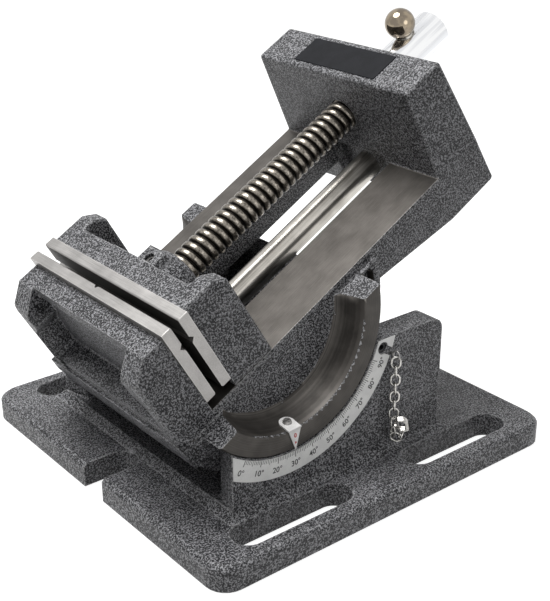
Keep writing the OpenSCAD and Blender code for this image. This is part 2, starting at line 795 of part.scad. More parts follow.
// Dog-point set screw that keeps the lead screw in the moving jaw
module screw_retainer() {
    sunk = 2;
    dog_d = 4.4;
    dog_l = 3;
    dog_play = 0.4;
    tip = groove_r + dog_play;
    color("dimgray") on_body() translate([retainer_at, 0, screw_h]) difference() {
        union() {
            bar_z(tip, tip + dog_l, dog_d / 2);
            bar_z(tip + dog_l, boss_h - sunk, retainer_d / 2);
        }
        translate([0, 0, boss_h - sunk - hex_depth]) cylinder(h = hex_depth + cut, d = hex_d, $fn = 6);
    }
}

// Two keeper plates under the tongue's shoulders, which reach under the rails and hold the jaw down
module keeper_plates() {
    inset = 1;
    seam = 0.3;
    color("slategray") on_body() difference() {
        both_sides() box([moving_back + inset, -keeper_half, keeper_low],
            [wing_rear - inset, -tongue_core_half - seam, keeper_low + keeper_t]);
        keeper_screw_places() bar_z(keeper_low - cut, keeper_low + keeper_t + cut, keeper_screw_d / 2);
    }
}

keeper_screw_l = 14;
module keeper_screws() {
    head_share = 0.85;
    color("dimgray") on_body() keeper_screw_places() difference() {
        union() {
            bar_z(keeper_low, keeper_low + keeper_screw_l, keeper_screw_d / 2);
            bar_z(keeper_low - keeper_head_h, keeper_low, keeper_screw_d * head_share);
        }
        translate([0, 0, keeper_low - keeper_head_h - cut]) cylinder(h = hex_depth + cut, d = hex_d, $fn = 6);
    }
}

// Lead screw, head and handle

spigot_r = 7;
spigot_l = 10;

module lead_screw() {
    shoulder = 0.3;
    end_play = 0.5;
    color("gray") on_body() translate([0, 0, screw_h]) difference() {
        union() {
            bar_x(journal_end + end_play, hub_end + shoulder + cut, journal_d / 2);
            bar_x(hub_end + shoulder, head_front, screw_d / 2);
            bar_x(head_front - cut, head_front + spigot_l, spigot_r);
        }
        difference() {
            bar_x(retainer_at - groove_l / 2, retainer_at + groove_l / 2, journal_d / 2 + cut);
            bar_x(retainer_at - groove_l / 2 - cut, retainer_at + groove_l / 2 + cut, groove_r);
        }
        head_pin_bore();
    }
}

pin_d = 4;
module head_pin_bore() {
    translate([head_front + spigot_l / 2, 0, 0]) bar_y(-head_d, head_d, pin_d / 2);
}

module screw_head() {
    bevel = 1.2;
    color("white") on_body() translate([0, 0, screw_h]) difference() {
        translate([head_front, 0, 0]) rotate([0, 90, 0]) rotate_extrude() polygon([
            [0, 0], [head_d / 2 - bevel, 0], [head_d / 2, bevel], [head_d / 2, head_l - bevel],
            [head_d / 2 - bevel, head_l], [0, head_l]]);
        bar_x(head_front - cut, head_front + spigot_l, spigot_r);
        translate([head_front + handle_set, 0, 0]) bar_z(-head_d, head_d, bar_d / 2 + shaft_play);
        head_pin_bore();
    }
}

module head_pin() {
    sunk = 0.6;
    color("gray") on_body() translate([head_front + spigot_l / 2, 0, screw_h])
        bar_y(-head_d / 2 + sunk, head_d / 2 - sunk, pin_d / 2);
}

// The handle hangs in the head's bore, its upper ball on the bore's rim
rim_up = sqrt(pow(ball_d / 2, 2) - pow(bar_d / 2, 2));
ball_play = 0.3;
ball_up = head_d / 2 + rim_up + ball_play;
module at_handle() {
    on_body() translate([head_front + handle_set, 0, screw_h]) children();
}
bore_share = 0.4;
ball_bore = ball_d * bore_share;

module handle_bar() {
    color("silver") at_handle() bar_z(ball_up - bar_span + ball_d / 2 - ball_bore, ball_up - ball_d / 2 + ball_bore, bar_d / 2);
}

module handle_ball() {
    difference() {
        sphere(d = ball_d);
        bar_z(-ball_d, -ball_d / 2 + ball_bore, bar_d / 2);
    }
}
module handle_ball_top() { color("tan") at_handle() translate([0, 0, ball_up]) handle_ball(); }
module handle_ball_bottom() {
    color("tan") at_handle() translate([0, 0, ball_up - bar_span]) mirror([0, 0, 1]) handle_ball();
}

// Short chain on the near cheek, hung from a screw eye and clipped back on itself with a clasp

eye_x = 21;
eye_z = 71.9;
eye_r = 2.3;
eye_wire = 0.9;
eye_stem_r = 0.9;
eye_stem_l = 6;
link_clear = 0.15;
chain_off = 0.5;
chain_y = -(cheek_out + scale_t + chain_off + link_w / 2);
link_pitch = link_l - 2 * chain_wire - link_clear;
bow_r = (link_w - chain_wire) / 2;
bow_reach = (link_l - chain_wire) / 2;
// The chain's links face halfway between the cheek and its end
chain_turn = -39;
// Turn of each hanging link about the chain
link_turns = [0, 90, 0, 90, 0, 90, 0, 55, 110];
first_link_z = eye_z - eye_r + chain_wire + link_clear - bow_reach;
last_bow_z = first_link_z - (len(link_turns) - 1) * link_pitch - bow_reach;
// The end link lies aslant, hooked on the last hanging one, and carries the ring of the clasp
end_link_deg = -30;
hook_in = chain_wire + link_clear;
function along(from, deg, l) = from + l * [cos(deg), 0, sin(deg)];
end_link_at = along([0, 0, last_bow_z], end_link_deg, bow_reach - hook_in);
ring_wire = 0.8;
ring_bow_r = 2.5;
ring_deg = 66;
ring_low = along(end_link_at, end_link_deg, bow_reach - (chain_wire + ring_wire) / 2 - 2 * link_clear);
ring_at = along(ring_low, ring_deg, ring_bow_r);
// Clasp: its tail eye hangs on the ring, and its body leans out past the chain
clasp_deg = 8;
clasp_lean = 32;
clasp_t = 2.4;
tail_r = 1.3;
tail_at = along(ring_low, ring_deg, 2 * ring_bow_r + link_clear);

module wire_arc(r, wire, turn) { rotate_extrude(angle = turn, $fn = 48) translate([r, 0]) circle(d = wire, $fn = 24); }

module eye_stem() {
    translate([eye_x, 0, eye_z]) bar_y(-cheek_out, -cheek_out + eye_stem_l, eye_stem_r);
}

module chain_eye() {
    color("dimgray") {
        eye_stem();
        translate([eye_x, 0, eye_z]) {
            bar_y(chain_y + eye_r, -cheek_out, eye_stem_r);
            translate([0, chain_y, 0]) rotate([0, 90, 0]) wire_arc(eye_r, eye_wire, 360);
        }
    }
}

module on_chain() { translate([eye_x, chain_y, 0]) rotate([0, 0, chain_turn]) children(); }

// One chain link, centred, upright, in the X Z plane
module chain_link() {
    straight = link_l - link_w;
    rotate([90, 0, 0]) for (s = [0, 180]) rotate([0, 0, s]) {
        translate([0, straight / 2, 0]) wire_arc(bow_r, chain_wire, 180);
        translate([bow_r, 0, 0]) rotate([90, 0, 0]) cylinder(h = straight, d = chain_wire, center = true, $fn = 24);
    }
}

module chain_links() {
    color("silver") on_chain() {
        for (i = [0 : len(link_turns) - 1])
            translate([0, 0, first_link_z - i * link_pitch]) rotate([0, 0, link_turns[i]]) chain_link();
        translate(end_link_at) rotate([0, 90 - end_link_deg, 0]) chain_link();
    }
}

module clasp_ring() {
    color("silver") on_chain() translate(ring_at) rotate([0, 90 - ring_deg, 0]) rotate([0, 90, 0])
        wire_arc(ring_bow_r, ring_wire, 360);
}

// The clasp's own frame: origin at its tail eye, Z towards its nose, Y through its thickness
module on_clasp() {
    on_chain() translate(tail_at) rotate([clasp_lean, 0, 0]) rotate([0, -clasp_deg, 0]) children();
}
clasp_foot = 1.2;
clasp_top = 13.4;
clasp_half = 3.2;
clasp_wall = 1.5;
clasp_play = 0.2;
clasp_pin_r = 0.45;
pin_inset = 0.8;
clasp_pin = [pin_inset - clasp_half, 3.6];
lever_r = 1;
lever_top = 10.2;
lever_t = 0.9;

module clasp_hook() {
    inner = clasp_half - clasp_wall;
    shoulder_share = 0.7;
    nose_share = 0.5;
    throat_share = 0.2;
    color("silver") on_clasp() {
        difference() {
            rotate([90, 0, 0]) linear_extrude(clasp_t, center = true) difference() {
                polygon(rounded([[-clasp_half, clasp_foot], [clasp_half, clasp_foot], [clasp_half, clasp_top * shoulder_share],
                    [clasp_half * nose_share, clasp_top], [-clasp_half, clasp_top]],
                    [clasp_wall, clasp_wall, clasp_half, clasp_wall, clasp_wall]));
                polygon(rounded([[-inner, clasp_foot + clasp_wall], [inner, clasp_foot + clasp_wall],
                    [inner, clasp_top * shoulder_share], [clasp_half * throat_share, clasp_top - clasp_wall], [-inner, clasp_top - clasp_wall]],
                    [clasp_wall / 2, clasp_wall / 2, clasp_wall, clasp_wall / 2, clasp_wall / 2]));
                translate([-clasp_half - cut, clasp_pin.y + lever_r + clasp_play])
                    square([clasp_wall + cut, lever_top - clasp_pin.y - lever_r]);
            }
            translate([clasp_pin.x - clasp_wall, -lever_t / 2 - clasp_play, clasp_pin.y - lever_r - clasp_play])
                cube([2 * clasp_wall + lever_r, lever_t + 2 * clasp_play, 2 * lever_r + 3 * clasp_play]);
        }
        translate([clasp_pin.x, 0, clasp_pin.y]) bar_y(-clasp_t / 2, clasp_t / 2, clasp_pin_r);
        rotate([90, 0, 0]) wire_arc(tail_r, ring_wire, 360);
    }
}

module clasp_lever() {
    thumb = 1;
    color("silver") on_clasp() rotate([90, 0, 0]) {
        linear_extrude(lever_t, center = true) difference() {
            union() {
                translate(clasp_pin) circle(r = lever_r);
                translate([-clasp_half, clasp_pin.y]) square([clasp_wall, lever_top - clasp_play - clasp_pin.y]);
                translate([-clasp_half - thumb, clasp_pin.y + 2 * lever_r]) square([2 * thumb, thumb]);
            }
            translate(clasp_pin) circle(r = clasp_pin_r + shaft_play);
        }
    }
}

base_casting();
degree_scale();
tilt_lock_screw_near();
tilt_lock_screw_far();
chain_eye();
vise_body_casting();
fixed_jaw_plate();
fixed_jaw_screws();
guide_rod();
rod_set_screw();
nameplate();
angle_pointer();
pointer_screw();
moving_jaw();
moving_jaw_plate();
moving_jaw_screws();
screw_retainer();
keeper_plates();
keeper_screws();
lead_screw();
screw_head();
head_pin();
handle_bar();
handle_ball_top();
handle_ball_bottom();
chain_links();
clasp_ring();
clasp_hook();
clasp_lever();
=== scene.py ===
"""Tilting machine vise: finishes, rounded castings, thread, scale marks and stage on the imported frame.

Lengths are in metres, unless they are multiplied by MM."""

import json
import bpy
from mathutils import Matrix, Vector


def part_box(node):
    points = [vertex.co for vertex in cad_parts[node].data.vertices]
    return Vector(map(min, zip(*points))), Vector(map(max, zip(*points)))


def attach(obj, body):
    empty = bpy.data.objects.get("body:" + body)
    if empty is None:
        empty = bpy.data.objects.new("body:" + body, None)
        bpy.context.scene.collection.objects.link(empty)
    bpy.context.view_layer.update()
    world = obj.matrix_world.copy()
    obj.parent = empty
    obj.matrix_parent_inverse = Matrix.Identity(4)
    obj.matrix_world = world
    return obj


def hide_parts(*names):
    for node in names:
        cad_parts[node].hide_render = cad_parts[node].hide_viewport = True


bl_info = {
    "name": "Tilting machine vise",
    "version": (1, 0, 0),
    "blender": (4, 5, 0),
    "location": "View3D > Sidebar > Vise",
    "description": "Builds the castings, steel parts, degree scale and stage of a tilting machine vise",
    "category": "Object",
}

from math import cos, degrees, inf, pi, radians, sin, tan

import bmesh
import bpy
from mathutils import Matrix, Vector

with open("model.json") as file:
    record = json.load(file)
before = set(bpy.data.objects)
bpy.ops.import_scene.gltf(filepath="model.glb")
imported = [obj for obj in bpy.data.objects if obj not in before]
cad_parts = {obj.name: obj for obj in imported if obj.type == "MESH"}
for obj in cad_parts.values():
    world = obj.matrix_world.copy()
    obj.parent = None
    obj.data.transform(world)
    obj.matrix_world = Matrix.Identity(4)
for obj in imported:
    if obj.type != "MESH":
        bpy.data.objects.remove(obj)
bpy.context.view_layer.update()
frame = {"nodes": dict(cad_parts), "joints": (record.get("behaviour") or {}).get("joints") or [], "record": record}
MM = 0.001

# Places read from the frame

JOINTS = {joint["name"]: joint for joint in frame["joints"]}
PIVOT = Vector(JOINTS["tilt"]["pos_m"])
TILT = -radians(JOINTS["tilt"]["range_deg"][0])
SCREW_AT = Vector(JOINTS["screw_turn"]["pos_m"])
BODY_OF = {node: body for body, nodes in frame["record"]["behaviour"]["bodies"].items() for node in nodes}
RAIL_BELOW_AXIS = 12.3 * MM
# The vise body's own frame: X along the bed, Z up from the rails
TO_RAILS = Matrix.Translation((0, 0, -RAIL_BELOW_AXIS))
BED = Matrix.Translation(PIVOT) @ Matrix.Rotation(-TILT, 4, "Y") @ TO_RAILS
BED_INVERSE = BED.inverted()
SCREW_H = (BED_INVERSE @ SCREW_AT).z


def node_span(node, place=Matrix()):
    """The lowest and highest corner of a CAD node in a frame of its own."""
    points = [place @ vertex.co for vertex in frame["nodes"][node].data.vertices]
    low = Vector([min(point[axis] for point in points) for axis in range(3)])
    high = Vector([max(point[axis] for point in points) for axis in range(3)])
    return low, high


CHEEK_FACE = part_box("degree_scale")[0].y
HALF_W = node_span("fixed_jaw_plate")[1].y


# Settings a user would change


class CastingSettings(bpy.types.PropertyGroup):
    corner: bpy.props.FloatProperty(
        name="Corner round", description="Largest rounding of a cast corner", default=2.4 * MM, unit="LENGTH")
    paint_dark: bpy.props.FloatVectorProperty(
        name="Paint, dark", description="Dark ground of the hammered paint", default=(0.011, 0.011, 0.0125),
        subtype="COLOR")
    paint_light: bpy.props.FloatVectorProperty(
        name="Paint, light", description="Light flecks of the hammered paint", default=(0.285, 0.285, 0.297),
        subtype="COLOR")
    fleck: bpy.props.FloatProperty(
        name="Fleck size", description="Spacing of the light flecks", default=0.88 * MM, unit="LENGTH")


class ScrewSettings(bpy.types.PropertyGroup):
    pitch: bpy.props.FloatProperty(
        name="Pitch", description="Pitch of the lead screw", default=5 * MM, unit="LENGTH")
    depth: bpy.props.FloatProperty(
        name="Thread depth", description="Depth of the thread", default=1.9 * MM, unit="LENGTH")
    steps: bpy.props.IntProperty(
        name="Steps", description="Faces round one turn of the thread", default=56)


class ScaleSettings(bpy.types.PropertyGroup):
    zero_deg: bpy.props.FloatProperty(
        name="Zero mark", description="Direction of the zero mark from the tilt axis", default=-116.4)
    digit: bpy.props.FloatProperty(
        name="Digit height", description="Size of the numbers", default=4.4 * MM, unit="LENGTH")
    number_r: bpy.props.FloatProperty(
        name="Number radius", description="Radius to the middle of the numbers", default=68.8 * MM,
        unit="LENGTH")
    ink: bpy.props.FloatVectorProperty(
        name="Ink", description="Colour of the marks", default=(0.02, 0.02, 0.02), subtype="COLOR")


class StageSettings(bpy.types.PropertyGroup):
    azimuth: bpy.props.FloatProperty(
        name="Azimuth", description="Camera direction, from -Y towards +X", default=-38.93)
    elevation: bpy.props.FloatProperty(
        name="Elevation", description="Camera height angle", default=23.74)
    distance: bpy.props.FloatProperty(
        name="Distance", description="Camera distance from its target", default=0.6805, unit="LENGTH")
    target: bpy.props.FloatVectorProperty(
        name="Target", description="Point in the middle of the view", default=(0.0234, 0.019, 0.067),
        unit="LENGTH")
    lens: bpy.props.FloatProperty(
        name="Lens", description="Focal length for a 36 mm picture", default=69.66, unit="CAMERA")
    sky: bpy.props.FloatProperty(
        name="Sky light", description="Strength of the light from all round", default=0.33)
    key: bpy.props.FloatProperty(
        name="Key light", description="Power of the soft lamp overhead", default=11.5, unit="POWER")


SETTINGS = {
    "castings": CastingSettings, "screw": ScrewSettings, "scale": ScaleSettings, "stage": StageSettings}


def settings(part):
    """The settings of one part of the scene."""
    return getattr(bpy.context.scene, "vise_" + part)


# Shader expressions


class Value:
    """The output of a shader node, on which the usual operators add Math nodes."""

    def __init__(self, shader, socket):
        self.shader = shader
        self.socket = socket

    def math(self, operation, *values):
        return self.shader.add("Math", dict(enumerate(values)), operation=operation)

    def __add__(self, other):
        return self.math("ADD", self, other)

    def __radd__(self, other):
        return self.math("ADD", other, self)

    def __sub__(self, other):
        return self.math("SUBTRACT", self, other)

    def __rsub__(self, other):
        return self.math("SUBTRACT", other, self)

    def __mul__(self, other):
        return self.math("MULTIPLY", self, other)

    def __rmul__(self, other):
        return self.math("MULTIPLY", other, self)

    def ramp(self, low, high):
        """0 below low, 1 above high, smooth between."""
        return self.shader.add(
            "MapRange", {"Value": self, "From Min": low, "From Max": high},
            interpolation_type="SMOOTHSTEP")


class Shader:
    """The node tree of a new material, or of the world."""

    def __init__(self, name, world=None):
        self.material = world or bpy.data.materials.new(name)
        self.material.use_nodes = True
        self.tree = self.material.node_tree
        self.tree.nodes.clear()

    def add(self, kind, sockets=None, output=0, **choices):
        """A node: its choices are set first, then each socket gets a value or a link."""
        node = self.tree.nodes.new("ShaderNode" + kind)
        for name, choice in choices.items():
            setattr(node, name, choice)
        for name, value in (sockets or {}).items():
            if isinstance(value, Value):
                self.tree.links.new(value.socket, node.inputs[name])
            else:
                node.inputs[name].default_value = value
        return Value(self, node.outputs[output]) if len(node.outputs) else None

    def place(self):
        return self.add("TexCoord", output="Object")

    def bed_place(self):
        """Object coordinates turned into the vise body's frame."""
        return self.add("Mapping", {
            "Vector": self.place(), "Location": BED_INVERSE.translation, "Rotation": BED_INVERSE.to_euler()})

    def stretched(self, place, scale):
        return self.add("Mapping", {"Vector": place, "Scale": scale})

    def from_axis(self, place, centre, across):
        """Distance from an axis through centre. Across is 0 along the axis and 1 across it."""
        centred = self.add("Mapping", {"Vector": place, "Location": -Vector(centre)})
        flat = self.add("VectorMath", {0: centred, 1: across}, operation="MULTIPLY")
        return self.add("VectorMath", {0: flat}, output="Value", operation="LENGTH")

    def noise(self, place, size, detail=2.0, roughness=0.5, distortion=0.0):
        """Noise whose features are about size apart."""
        return self.add("TexNoise", {
            "Vector": place, "Scale": 1 / size, "Detail": detail, "Roughness": roughness,
            "Distortion": distortion})

    def mix(self, factor, first, second):
        """The first colour where the factor is 0, and the second where it is 1."""
        first, second = [(*c, 1) if isinstance(c, tuple) and len(c) == 3 else c for c in (first, second)]
        return self.add("Mix", {0: factor, 6: first, 7: second}, output=2, data_type="RGBA")

    def rounded(self, radius):
        """The normal of a surface whose edges are rounded."""
        return self.add("Bevel", {"Radius": radius}, samples=4)

    def edge(self, radius, strength=1.0):
        """1 along convex and concave edges, fading over radius."""
        rounded = self.rounded(radius)
        flat = self.add("NewGeometry", output="Normal")
        along = self.add("VectorMath", {0: rounded, 1: flat}, output="Value", operation="DOT_PRODUCT")
        return ((1 - along) * (strength * 8)).ramp(0.0, 1.0)

    def bump(self, height, depth, strength, normal=None):
        sockets = {"Height": height, "Distance": depth, "Strength": strength}
        if normal:
            sockets["Normal"] = normal
        return self.add("Bump", sockets)

    def finish(self, **sockets):
        """The surface: socket names are written with _ for a space."""
        named = {name.replace("_", " "): value for name, value in sockets.items()}
        if "Specular" in named:
            named["Specular IOR Level"] = named.pop("Specular")
        surface = self.add("BsdfPrincipled", named)
        self.add("OutputMaterial", {"Surface": surface})
        return self.material


# Finishes


def cast_paint():
    """Hammered charcoal paint: pale worm-like flecks on near black, in dimples, worn paler on convex edges, with a
    painted highlight along concave edges.
    """
    look = settings("castings")
    bare_metal_and_highlight = (0.60, 0.60, 0.605)
    wear_and_highlight_width, chip_and_speck, corner, dimple = 0.9 * MM, 1.2 * MM, 0.7 * MM, 0.3 * MM
    shader = Shader("cast_paint")
    place = shader.place()
    worm = shader.noise(place, look.fleck, detail=3.0, roughness=0.6, distortion=0.6)
    patch_size = 14 * look.fleck
    patch = shader.noise(place, patch_size, detail=2.0)
    fleck = (worm + (patch - 0.5) * 0.08).ramp(0.49, 0.57)
    # Paler on convex edges as worn paint, and along concave edges as a painted highlight of the glossy paint in
    # the fillets
    wear_and_highlight = shader.edge(wear_and_highlight_width, 4.0) * shader.noise(place, chip_and_speck, detail=3.0).ramp(0.40, 0.60)
    paint = shader.mix(fleck, tuple(look.paint_dark), tuple(look.paint_light))
    colour = shader.mix(wear_and_highlight * 0.75, paint, bare_metal_and_highlight)
    return shader.finish(
        Base_Color=colour, Metallic=0.0, Roughness=0.42 - fleck * 0.08, Specular=0.22,
        Normal=shader.bump(worm, dimple, 0.6, shader.rounded(corner)))


def scraped_steel(name, base, shade, direction, rough=0.36):
    """Ground steel: fine scratches along one direction of the bed, with softer clouds of oil and rust."""
    scratch_width, cloud_size, edge_width, depth = 0.35 * MM, 16 * MM, 0.7 * MM, 0.05 * MM
    shader = Shader(name)
    bed = shader.bed_place()
    long_scale = [1.0, 1.0, 1.0]
    long_scale[direction] = 0.03
    scratch = shader.noise(shader.stretched(bed, long_scale), scratch_width, detail=4.0, roughness=0.65)
    cloud = shader.noise(bed, cloud_size, detail=3.0, roughness=0.6)
    stain = (scratch * 0.55 + cloud * 0.45).ramp(0.3, 0.72)
    # Paler on convex edges as wear, and along concave edges as a painted highlight
    wear_and_highlight = shader.edge(edge_width)
    colour = shader.mix(stain, shade, base)
    bright = shader.mix(wear_and_highlight * 0.6, colour, tuple(min(1.0, 1.5 * part) for part in base))
    return shader.finish(
        Base_Color=bright, Metallic=0.85, Roughness=rough + cloud * 0.14,
        Normal=shader.bump(scratch, depth, 0.35))


def rail_steel():
    return scraped_steel("rail_steel", (0.13, 0.12, 0.11), (0.07, 0.064, 0.058), 0)


def plate_steel():
    return scraped_steel("plate_steel", (0.40, 0.387, 0.375), (0.25, 0.243, 0.235), 1, rough=0.34)


# Darker steel for the clamping faces and the keeper plates: painted shade in the gaps between parts
def shaded_gap_steel():
    return scraped_steel("shaded_keeper_steel", (0.10, 0.096, 0.09), (0.055, 0.052, 0.05), 1, rough=0.5)


def ring_steel():
    """Turned face of a bearing ring: fine circles about the tilt axis, dull and brownish."""
    dark, pale, rubbed = (0.032, 0.029, 0.026), (0.070, 0.064, 0.058), (0.26, 0.245, 0.225)
    circle_width, cloud_size, edge_width, depth = 0.5 * MM, 9 * MM, 0.8 * MM, 0.04 * MM
    shader = Shader("ring_steel")
    radius = shader.from_axis(shader.place(), PIVOT, (1, 0, 1))
    circles = shader.add(
        "TexNoise", {"W": radius, "Scale": 1 / circle_width, "Detail": 4.0}, noise_dimensions="1D")
    cloud = shader.noise(shader.place(), cloud_size, detail=3.0)
    stain = (circles * 0.5 + cloud * 0.5).ramp(0.32, 0.68)
    colour = shader.mix(stain, dark, pale)
    bright = shader.mix(shader.edge(edge_width) * 0.7, colour, rubbed)
    return shader.finish(
        Base_Color=bright, Metallic=0.7, Roughness=0.42 + cloud * 0.12,
        Normal=shader.bump(circles, depth, 0.4))


def polished_steel():
    """Drawn and polished bar with faint lengthwise marks."""
    dark, pale = (0.33, 0.31, 0.28), (0.60, 0.575, 0.525)
    streak_width, cloud_size, depth = 0.8 * MM, 12 * MM, 0.02 * MM
    shader = Shader("polished_steel")
    bed = shader.bed_place()
    streak = shader.noise(shader.stretched(bed, (0.02, 1.0, 1.0)), streak_width, detail=3.0)
    cloud = shader.noise(bed, cloud_size, detail=2.0)
    colour = shader.mix((streak * 0.6 + cloud * 0.4).ramp(0.3, 0.7), dark, pale)
    return shader.finish(
        Base_Color=colour, Metallic=1.0, Roughness=0.28 + streak * 0.06,
        Normal=shader.bump(streak, depth, 0.2))


def thread_steel():
    """Lead screw: warm dark crests with bright streaks, over thread roots painted near black as shade."""
    root_shade, dark, pale = (0.016, 0.014, 0.012), (0.08, 0.072, 0.060), (0.30, 0.272, 0.235)
    shaded_to, unshaded_from = 7.6 * MM, 8.8 * MM
    grain_size, depth = 1.1 * MM, 0.06 * MM
    shader = Shader("turned_steel")
    bed = shader.bed_place()
    # Thread roots painted near black as shade, crests in the grained steel colour
    crest = shader.from_axis(bed, (0, 0, SCREW_H), (0, 1, 1)).ramp(shaded_to, unshaded_from)
    grain = shader.noise(bed, grain_size, detail=4.0, roughness=0.65)
    colour = shader.mix(crest, root_shade, shader.mix(grain.ramp(0.3, 0.7), dark, pale))
    return shader.finish(
        Base_Color=colour, Metallic=0.95, Roughness=0.42 - crest * 0.18 + grain * 0.08,
        Normal=shader.bump(grain, depth, 0.5))


def chrome():
    """Bright plating with faint lengthwise streaks of painted reflection."""
    shade, bright = (0.74, 0.75, 0.77), (0.93, 0.935, 0.94)
    shader = Shader("chrome")
    reflection_streak_size = 4 * MM
    reflection_streak = shader.noise(shader.stretched(shader.bed_place(), (0.06, 1.0, 1.0)), reflection_streak_size, detail=2.0)
    # Lengthwise darker and paler bands: painted reflection streaks
    colour = shader.mix(reflection_streak.ramp(0.40, 0.60), shade, bright)
    return shader.finish(Base_Color=colour, Metallic=1.0, Roughness=0.08 + reflection_streak * 0.06)


def ball_brass():
    """Nickelled brass knob, a little worn so that the warm metal shows."""
    dull, brass = (0.22, 0.185, 0.145), (0.36, 0.30, 0.22)
    shader = Shader("ball_brass")
    worn_patch = 5 * MM
    worn = shader.noise(shader.place(), worn_patch, detail=3.0, roughness=0.6).ramp(0.4, 0.66)
    colour = shader.mix(worn, dull, brass)
    return shader.finish(Base_Color=colour, Metallic=1.0, Roughness=0.08 + worn * 0.05)


def screw_steel(name, dark, pale, rubbed, metallic, rough):
    """Grained steel of a small screw, rubbed brighter on its edges."""
    grain_size, edge_width = 0.9 * MM, 0.3 * MM
    shader = Shader(name)
    grain = shader.noise(shader.place(), grain_size, detail=3.0)
    colour = shader.mix(grain.ramp(0.35, 0.65), dark, pale)
    bright = shader.mix(shader.edge(edge_width) * 0.5, colour, rubbed)
    return shader.finish(Base_Color=bright, Metallic=metallic, Roughness=rough + grain * 0.1)


def black_steel():
    return screw_steel("black_steel", (0.02, 0.02, 0.021), (0.045, 0.045, 0.047), (0.2, 0.2, 0.2), 0.6, 0.4)


def set_screw_steel():
    return screw_steel(
        "set_screw_steel", (0.20, 0.195, 0.19), (0.34, 0.33, 0.32), (0.6, 0.6, 0.58), 0.9, 0.32)


def nickel():
    """Plated wire and sheet of the chain and its clasp."""
    dark, pale = (0.28, 0.272, 0.255), (0.58, 0.565, 0.54)
    shader = Shader("nickel")
    grain_size = 1.4 * MM
    grain = shader.noise(shader.place(), grain_size, detail=3.0)
    colour = shader.mix(grain.ramp(0.3, 0.7), dark, pale)
    return shader.finish(Base_Color=colour, Metallic=1.0, Roughness=0.2 + grain * 0.1)


def printed_metal(name, pale, worn_tone, rough, specular=0.5):
    """A printed strip: even paint with faint dirt in soft clouds."""
    dirt_size, speck_size, depth = 7 * MM, 0.5 * MM, 0.01 * MM
    shader = Shader(name)
    place = shader.place()
    dirt = shader.noise(place, dirt_size, detail=4.0, roughness=0.65)
    speck = shader.noise(place, speck_size, detail=2.0)
    colour = shader.mix((dirt * 0.7 + speck * 0.3).ramp(0.36, 0.66), worn_tone, pale)
    return shader.finish(
        Base_Color=colour, Roughness=rough + dirt * 0.08, Specular=specular,
        Normal=shader.bump(speck, depth, 0.2))


def scale_white():
    return printed_metal("scale_white", (0.80, 0.80, 0.785), (0.70, 0.70, 0.69), 0.35)


def pointer_white():
    return printed_metal("pointer_white", (0.84, 0.83, 0.82), (0.66, 0.65, 0.64), 0.3)


def plate_slate():
    return printed_metal("plate_slate", (0.013, 0.0135, 0.016), (0.008, 0.0085, 0.010), 0.5, specular=0.08)


def mark_ink():
    look = settings("scale")
    return printed_metal("mark_ink", tuple(look.ink), tuple(0.6 * part for part in look.ink), 0.4)


def mark_red():
    return printed_metal("mark_red", (0.55, 0.05, 0.045), (0.42, 0.05, 0.045), 0.4)


FINISHES = (
    cast_paint, rail_steel, plate_steel, shaded_gap_steel, ring_steel, polished_steel, thread_steel, chrome,
    ball_brass, black_steel, set_screw_steel, nickel, scale_white, pointer_white, plate_slate, mark_ink,
    mark_red)
MADE = {}


def finish(name):
    """The material that the function of that name makes, made once."""
    if name not in MADE:
        MADE[name] = {maker.__name__: maker for maker in FINISHES}[name]()
    return MADE[name]


# Making pieces


def piece(name, bm, finishes, nodes=(), body=None, smooth=32.0, recalculate=False):
    """A finished object from a bmesh, riding on the body of the nodes that it replaces, or on a named one."""
    if recalculate:
        bmesh.ops.recalc_face_normals(bm, faces=bm.faces)
    mesh = bpy.data.meshes.new(name)
    bm.to_mesh(mesh)
    bm.free()
    for key in finishes:
        mesh.materials.append(finish(key))
    mesh.shade_smooth()
    mesh.set_sharp_from_angle(angle=radians(smooth))
    thing = bpy.data.objects.new(name, mesh)
    bpy.context.scene.collection.objects.link(thing)
    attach(thing, body or BODY_OF[nodes[0]])
    if nodes:
        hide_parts(*nodes)
    return thing


def clean_copy(node, cuts=(), reach=inf):
    """A CAD node's mesh with joined corners and whole flat faces.

    Flat faces are parted only along cuts that cross their holes. A cut is a plane's point and normal, and the
    height above which it parts faces. Faces further than reach from the middle plane stay as they are."""
    flat = radians(0.6)
    bm = bmesh.new()
    bm.from_mesh(frame["nodes"][node].data)
    bmesh.ops.remove_doubles(bm, verts=bm.verts, dist=1e-6)
    for point, normal, low in cuts:
        cut = bmesh.ops.bisect_plane(
            bm, geom=bm.verts[:] + bm.edges[:] + bm.faces[:], dist=1e-6, plane_co=point, plane_no=normal)
        for item in cut["geom_cut"]:
            if isinstance(item, bmesh.types.BMEdge) and min(vert.co.z for vert in item.verts) > low:
                item.seam = True
    verts = [vert for vert in bm.verts if abs(vert.co.y) < reach]
    edges = [edge for edge in bm.edges if all(abs(vert.co.y) < reach for vert in edge.verts)]
    bmesh.ops.dissolve_limit(bm, angle_limit=flat, verts=verts, edges=edges, delimit={"SEAM"})
    bmesh.ops.triangulate(bm, faces=list(holed_faces(bm)))
    return bm


def holed_faces(bm):
    """Flat faces round a hole, which no cut crosses: an edge inside a flat face shows them."""
    flat = radians(0.7)
    return {
        face for edge in bm.edges if len(edge.link_faces) == 2 and not edge.seam
        and edge.calc_face_angle(0.0) < flat for face in edge.link_faces}


def round_edges(thing, widest, segments):
    """Rounds the edges that carry a weight. The widest has a weight of 1."""
    modifier = thing.modifiers.new("Rounded edges", "BEVEL")
    modifier.width = widest
    modifier.segments = segments
    modifier.limit_method = "WEIGHT"
    modifier.use_clamp_overlap = False
    modifier.miter_outer = "MITER_ARC"
    thing.modifiers.new("Flat faces stay flat", "WEIGHTED_NORMAL").keep_sharp = True
    return thing


